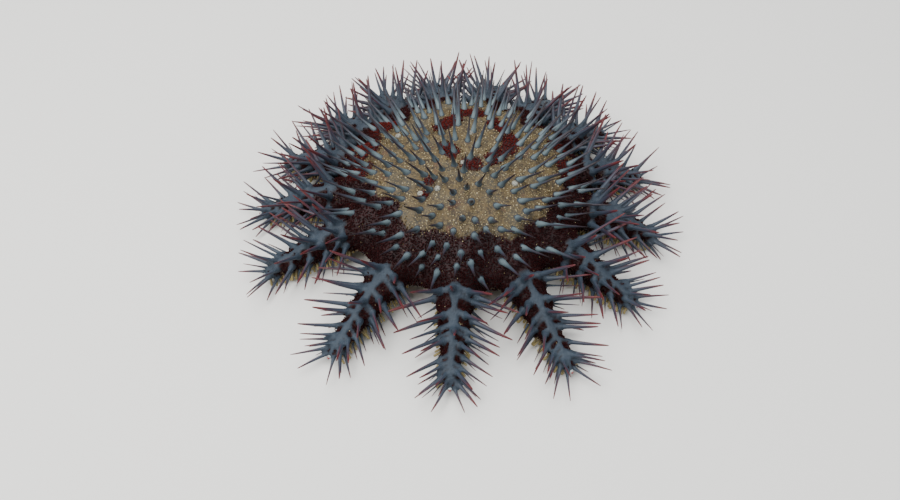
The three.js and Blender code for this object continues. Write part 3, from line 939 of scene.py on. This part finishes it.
def fuzzParts():
    along, tint, bright, cloud = share("along"), share("tint"), share("bright"), noise(45.0, 3.0)
    base = layered(
        "160304", ("280607", tint), (mixed("3a0c0b", "581814", tint), bright * 0.9),
        ("6c2a24", along.between(0.5, 1.0) * (0.05 + bright * 0.2)),
        ("110304", cloud.between(0.45, 0.72) * (1 - bright) * 0.6),
        (mixed("4d4230", "6a5c40", tint), share("sandy").between(0.3, 0.75)))
    return {"Base Color": base, "Roughness": 0.8 + (tint - 0.5) * 0.1}


def grainParts():
    tint, fine = share("tint"), noise(900.0)
    base = layered("70643f", ("b3a680", tint * tint), ("6a5e44", fine.between(0.5, 0.8) * 0.5))
    return {"Base Color": base, "Roughness": 0.6 + fine * 0.1}


rng = np.random.default_rng(41)
fuzzFinish = finish("papulaFinish", fuzzParts, Specular_IOR_Level=0.12)
grainFinish = finish("granuleFinish", grainParts)
fuzzTemplate = spunRings("fuzzTemplate", 5, [(0, 0.8), (0.45, 1.0), (0.85, 0.75), (1.0, 0.3)])
lowWeight = smoothstep(zones["above"], -0.6, 0.1)
redWeight = red * (1 - smoothstep(blue, 0.25, 0.6)) * np.where(zones["along"] > 0, lowWeight, 1)
roots, up = scattered(fuzz["count"], redWeight, rng, fuzz["apart"])
order = np.argsort(roots[:, 1])
fuzzPieces = []
for part, chosen in enumerate(np.array_split(order, fuzz["pieces"])):
    widths = fuzz["width"] * rng.uniform(0.75, 1.25, len(chosen))
    lengths = fuzz["length"] * rng.uniform(0.55, 1.2, len(chosen))
    here = roots[chosen]
    piece = makeTufts(
        f"redPapulae{part + 1}", fuzzTemplate, here, up[chosen], widths, lengths, fuzzFinish, rng)
    each = len(piece.data.vertices) // len(chosen)
    bright = np.clip(ringShare(here) * 1.6, 0, 1)
    setShare(piece, "bright", np.repeat(bright, each))
    setShare(piece, "sandy", np.repeat(sandyShare(here) * (1 - bright), each))
    fuzzPieces.append(piece)
sandWeight = (sandy * (1 - ring) + 0.05 * red) * (1 - smoothstep(blue, 0.2, 0.5))
roots, up = scattered(grains["count"], sandWeight, rng, grains["apart"])
widths = grains["width"] * rng.uniform(0.6, 1.3, len(roots))
lengths = grains["length"] * rng.uniform(0.7, 1.6, len(roots))
paleGranules = makeTufts("paleGranules", fuzzTemplate, roots, up, widths, lengths, grainFinish, rng)
removed(fuzzTemplate)
report(f"{len(order)} papulae and {len(roots)} granules made")

# The underside: tube feet on their soles, groove spines, and the mouth

feet = {
    "armPairs": 12, "discPairs": 5, "width": 1.5, "gap": 2.6, "zigzag": 1.6, "widest": 0.34, "sunk": 3.5,
    "rings": [
        (1, 0.75), (0.8, 0.62), (0.55, 0.6), (0.3, 0.62), (0.14, 0.72), (0.09, 1.25), (0.03, 1.4), (0, 1.3)],
}
footTemplate = spunRings("footTemplate", 8, feet["rings"], False)


def makeTubeFeet():
    rng = np.random.default_rng(5)
    frames = []
    for i in range(len(arms)):
        onDisc, onArm = [np.arange(feet[pairs]) / feet[pairs] for pairs in ("discPairs", "armPairs")]
        spots = [*lerp(disc["mouth"] + 10, disc["rim"], onDisc), *lerp(disc["rim"], armReach[i] - 4, onArm)]
        for k, out in enumerate(spots):
            along = (out - disc["rim"]) / (armReach[i] - disc["rim"])
            half, _, under, _ = armSection(i, along)
            roof = (under if along > 0 else discUnder(out)) + feet["sunk"]
            apart = min(half * feet["widest"], feet["gap"] + (k % 2) * feet["zigzag"])
            apart *= 1 if along > 0 else min(out / 60, 1)
            for side in (-1, 1):
                x, y, _ = fromArm(i, out + rng.uniform(-0.8, 0.8), side * apart, 0)
                sway = rng.uniform(-1, 1, 2) * min(2.5, roof * 0.12)
                width = feet["width"] * rng.uniform(0.8, 1.1) * lerp(1, 0.7, max(along, 0))
                frames.append([[width, 0, sway[0], x], [0, width, sway[1], y], [0, 0, float(roof), 0]])
    return spunCopies("tubeFeet", footTemplate, frames)


def feetParts():
    along, fine = share("along"), noise(500.0, 2.0)
    base = layered("c9b488", ("a5885a", along.between(0.1, 0.7)), ("8a6a48", fine.between(0.5, 0.8) * 0.4))
    rings = waves(260.0, 0.6, bands_direction="Z")
    return {"Base Color": base, "Roughness": 0.4 + fine * 0.2, "Normal": bumped(rings, 0.3, 0.0003)}


tubeFeet = makeTubeFeet()
tubeFeet.data.materials.append(finish("tubeFootFinish", feetParts))
removed(footTemplate)

grooveSpine = {
    "length": 9.0, "base": 0.95, "every": 3.4, "start": 8.0, "end": 3, "room": 0.8,
    "rows": [(0.5, 18, 0.8, 1.5), (0.68, 42, 1.0, 4.0)],  # across, tilt, size and lift
}
bluntRings = [(-0.1, 0.8), (0.1, 0.9), (0.5, 0.95), (0.85, 1.0), (0.97, 0.75), (1.0, 0.35)]
bluntTemplate = spunRings("bluntTemplate", 7, bluntRings)


def makeGrooveSpines():
    rng = np.random.default_rng(9)
    roots, directions, widths, lengths = [], [], [], []
    for i in range(len(arms)):
        out = disc["mouth"] + grooveSpine["start"]
        while out < armReach[i] - grooveSpine["end"]:
            along = (out - disc["rim"]) / (armReach[i] - disc["rim"])
            half, _, under, _ = armSection(i, along)
            base = float(under if along > 0 else discUnder(out))
            wide = half if along > 0 else min(half, out * 0.2) * 0.8
            for side in (-1, 1):
                rows = grooveSpine["rows"][:1 if along < -0.5 else 2]  # one row only near the mouth
                for across, tilt, size, lift in rows:
                    roots.append(fromArm(i, out + rng.uniform(-0.8, 0.8), side * across * wide, base + lift))
                    lean = math.radians(tilt + rng.uniform(-8, 8))
                    down = fromArm(i, rng.uniform(-0.1, 0.35), side * math.sin(lean), -math.cos(lean))
                    room = (base + lift - grooveSpine["room"]) / math.cos(lean)
                    directions.append(unit(down))
                    lengths.append(min(grooveSpine["length"] * size * rng.uniform(0.85, 1.1), room))
                    widths.append(grooveSpine["base"] * rng.uniform(0.85, 1.15))
            out += grooveSpine["every"]
    return spunCopies("grooveSpines", bluntTemplate, framesOf(roots, directions, 0, widths, lengths))


def bluntParts():
    along, fine = share("along"), noise(700.0, 2.0)
    base = layered("5f5236", ("8f8153", along.between(0.1, 0.8)), ("453c29", fine.between(0.5, 0.8) * 0.5))
    return {"Base Color": base, "Roughness": 0.55 + fine * 0.15, "Normal": bumped(fine, 0.3, 0.0003)}


grooveSpines = makeGrooveSpines()
bluntFinish = finish("bluntSpineFinish", bluntParts)
grooveSpines.data.materials.append(bluntFinish)
report("tube feet and groove spines made")

mouthSizes = {
    "pleats": 15, "pleat": 1.1, "rings": 14, "sides": 90, "edge": 1.5, "thickness": 1.2,
    "sunk": 8, "bowl": 3.5, "lips": 4.5,
}
oralSpine = {"turns": (-9, -3, 3, 9), "squeeze": 0.55, "edge": 1.5, "inward": 38, "length": 12}


def makeMouth():  # a pleated membrane that closes to a small ring in the middle
    top = discUnder(0) + disc["mouthDepth"]
    bare()
    bpy.ops.mesh.primitive_circle_add(
        vertices=mouthSizes["sides"], radius=disc["mouth"] + mouthSizes["edge"])
    piece = named("mouthMembrane")
    startEdit()
    for k in range(mouthSizes["rings"]):
        size = 1 - 1 / (mouthSizes["rings"] + 0.6 - k)
        bpy.ops.mesh.extrude_region_move()
        bpy.ops.transform.resize(value=(size, size, 1))
    bpy.ops.mesh.edge_face_add()
    endEdit()
    p = points(piece)
    radius = np.hypot(p[:, 0], p[:, 1])
    outward = radius / disc["mouth"]
    pleat = np.cos(np.arctan2(p[:, 1], p[:, 0]) * mouthSizes["pleats"])
    p[:, 2] = top - mouthSizes["sunk"] + mouthSizes["bowl"] * smoothstep(outward, 0.2, 1.0)
    p[:, 2] += mouthSizes["lips"] * (1 - smoothstep(outward, 0.03, 0.22))
    pleated = smoothstep(outward, 0.08, 0.4) * (1 - smoothstep(outward, 0.8, 1.1))
    p[:, 2] += mouthSizes["pleat"] * pleat * pleated
    setPoints(piece, p * metre)
    applied(piece, "SOLIDIFY", thickness=mouthSizes["thickness"] * metre, offset=0)
    for polygon in piece.data.polygons:
        polygon.use_smooth = True
    return piece


def mouthParts():
    cloud, fine = noise(160.0, 3.0), noise(900.0, 2.0)
    base = layered("b3946a", ("8c6247", cloud.between(0.35, 0.7)), ("6b4434", fine.between(0.5, 0.8) * 0.4))
    return {"Base Color": base, "Roughness": 0.4 + fine * 0.2, "Normal": bumped(fine, 0.4, 0.0004)}


mouthMembrane = makeMouth()
mouthMembrane.data.materials.append(finish("mouthFinish", mouthParts))


def makeOralSpines():  # jaws' spines, in a fan over the mouth from every corner between two grooves
    rng = np.random.default_rng(3)
    roots, directions, widths, lengths = [], [], [], []
    for i in range(len(arms)):
        corner = math.radians(armAngle[i] + turnTo(armAngle[i], armAngle[(i + 1) % len(arms)]) / 2)
        for turn in oralSpine["turns"]:
            a = corner + math.radians(turn * oralSpine["squeeze"])
            radius = disc["mouth"] + oralSpine["edge"] + abs(turn) * 0.15
            roots.append([radius * math.cos(a), radius * math.sin(a), float(discUnder(radius)) + 1.0])
            inward = math.radians(oralSpine["inward"] + rng.uniform(-6, 6))
            level = -math.sin(inward)
            directions.append([math.cos(a) * level, math.sin(a) * level, -math.cos(inward)])
            widths.append(rng.uniform(0.9, 1.1))
            lengths.append(oralSpine["length"] * rng.uniform(0.85, 1.1))
    return spunCopies("oralSpines", bluntTemplate, framesOf(roots, directions, 0, widths, lengths))


oralSpines = makeOralSpines()
oralSpines.data.materials.append(bluntFinish)
removed(bluntTemplate)

# Eyespots at the arms' tips, the sieve plates and the anus

plateRings = [(-1.2, 1.0), (0.6, 0.98), (1.2, 0.85), (1.5, 0.6), (1.55, 0.3), (1.5, 0.08)]
poreRings = [(-1.2, 1.1), (0.3, 1.0), (1.2, 0.72), (1.35, 0.52), (0.9, 0.4), (-0.6, 0.3)]
# how far out and in which direction each one is, its radius, and its profile
buttons = [
    (37, 239, 2.56, plateRings), (48, 228, 2.4, plateRings), (5, 272, 2.24, plateRings),
    (47, 330, 2.56, plateRings), (62, 150, 2.64, plateRings), (31, 79, 2.4, poreRings),
]


eye = {"inset": 0.6, "long": 2.9, "wide": 0.95, "tall": 0.5}


def makeEyes():
    parts = []
    for i in range(len(arms)):
        half, top, under, _ = armSection(i, 1.0)
        bare()
        bpy.ops.mesh.primitive_uv_sphere_add(segments=20, ring_count=12, radius=1)
        piece = named("eye")
        p = points(piece)
        setShare(piece, "spot", smoothstep(p[:, 0], 0.55, 0.8))
        out = armReach[i] - eye["inset"] + p[:, 0] * eye["long"]
        z = (top + under) / 2 + p[:, 2] * (top - under) * eye["tall"]
        setPoints(piece, fromArm(i, out, p[:, 1] * half * eye["wide"], z) * metre)
        bpy.ops.object.shade_smooth()
        parts.append(piece)
    return joined("eyeSpots", parts)


def eyeParts():
    spot, fine = share("spot"), noise(900.0, 2.0)
    base = layered("9aa1a0", ("7c1512", spot), ("4a4a55", fine.between(0.5, 0.8) * 0.35))
    return {"Base Color": base, "Roughness": 0.35 + fine * 0.2}


eyeSpots = makeEyes()
eyeSpots.data.materials.append(finish("eyeFinish", eyeParts))


def makeButtons():  # the plates' low buttons and the pore of the anus
    parts = []
    for radius, angle, wide, rings in buttons:
        template = spunRings("button", 32, rings, False)
        slope = disc["drop"] * disc["power"] * (radius / disc["rim"]) ** (disc["power"] - 1)
        steep = math.atan(slope / disc["rim"])
        a = math.radians(angle)
        root = np.array([[radius * math.cos(a), radius * math.sin(a), discTop(radius, angle)[0]]])
        normal = np.array([[math.sin(steep) * math.cos(a), math.sin(steep) * math.sin(a), math.cos(steep)]])
        parts.append(joinedCopies("button", template, framesOf(root, normal, 0, [wide], [1])))
        removed(template)
    return joined("sievePlates", parts)


def plateParts():
    winding = waves(500.0, 9.0, wave_type="RINGS")
    base = mixed("94948a", "5c594f", winding.between(0.5, 0.9))
    return {"Base Color": base, "Roughness": 0.5 + winding * 0.1, "Normal": bumped(1 - winding, 0.6, 0.0004)}


sievePlates = makeButtons()
sievePlates.data.materials.append(finish("plateFinish", plateParts))
report("mouth, eyespots and sieve plates made")

# Everything rides on the one body and stands for its solids

slots = {
    "disc_skin": [bodySkin, *fuzzPieces, paleGranules, sievePlates],
    "arm_skin": [discSpines, frontSpines, backSpines],
    "mouth_skin": [tubeFeet, grooveSpines, mouthMembrane, oralSpines],
    "eye_skin": [eyeSpots],
}
for slot, pieces in slots.items():
    for piece in pieces:
        piece.data.transform(Matrix.Translation(Vector(centre * metre)))
        piece.data.update()
        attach(piece, "root")
armNodes = [f"arm_{i + 1:02d}" for i in range(len(arms))]
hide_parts("disc", *armNodes)
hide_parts("mouth")
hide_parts(*[node.replace("arm", "eye") for node in armNodes])

# Floor, light and camera

bare()
bpy.ops.mesh.primitive_plane_add(size=6, location=(0, 0, 0))
floor = named("floor")
floorFinish = finish(
    "floorFinish", lambda: {"Roughness": 0.8 + noise(30.0) * 0.1}, Base_Color=linear("e2e1dd"))
floor.data.materials.append(floorFinish)

# each light's power, size, place and colour
studio = {
    "topLight": (48, 1.6, (-0.2, 0.35, 1.7), (1, 1, 1)),
    "keyLight": (24, 0.9, (-0.9, -0.7, 1.2), (1, 0.99, 0.97)),
    "fillLight": (8, 1.2, (1.2, -0.6, 0.8), (0.95, 0.97, 1)),
}
sky = {"Color": (0.93, 0.96, 1, 1), "Strength": 0.45}


def areaLight(name, power, size, at, tone):
    bpy.ops.object.light_add(type="AREA", location=at)
    lamp = bpy.context.object
    lamp.name = name
    lamp.data.energy = power
    lamp.data.size = size
    lamp.data.color = tone
    lamp.rotation_euler = (Vector((0, 0, 0.03)) - Vector(at)).to_track_quat("-Z", "Y").to_euler()


for name, settings in studio.items():
    areaLight(name, *settings)
world = bpy.data.worlds.new("studioWorld")
bpy.context.scene.world = world
world.use_nodes = True
for key, value in sky.items():
    world.node_tree.nodes["Background"].inputs[key].default_value = value

lens = {"elevation": 45, "distance": 0.60, "focal": 750, "at": (468, 158), "size": (900, 500)}


def aimCamera():
    target = Vector(centre * metre) + Vector((0, 0, disc["top"] * metre))
    elevation = math.radians(lens["elevation"])
    seat = target + Vector((0, -math.cos(elevation), math.sin(elevation))) * lens["distance"]
    bpy.ops.object.camera_add(location=seat)
    camera = bpy.context.object
    camera.data.sensor_width = 36
    camera.data.lens = lens["focal"] * 36 / lens["size"][0]
    camera.data.clip_start = 0.01
    right = math.atan((lens["at"][0] - lens["size"][0] / 2) / lens["focal"])
    up = math.atan((lens["size"][1] / 2 - lens["at"][1]) / lens["focal"])
    camera.rotation_euler = (math.pi / 2 - elevation - up, 0, right)
    bpy.context.scene.camera = camera


aimCamera()

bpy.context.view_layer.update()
report("scene done")
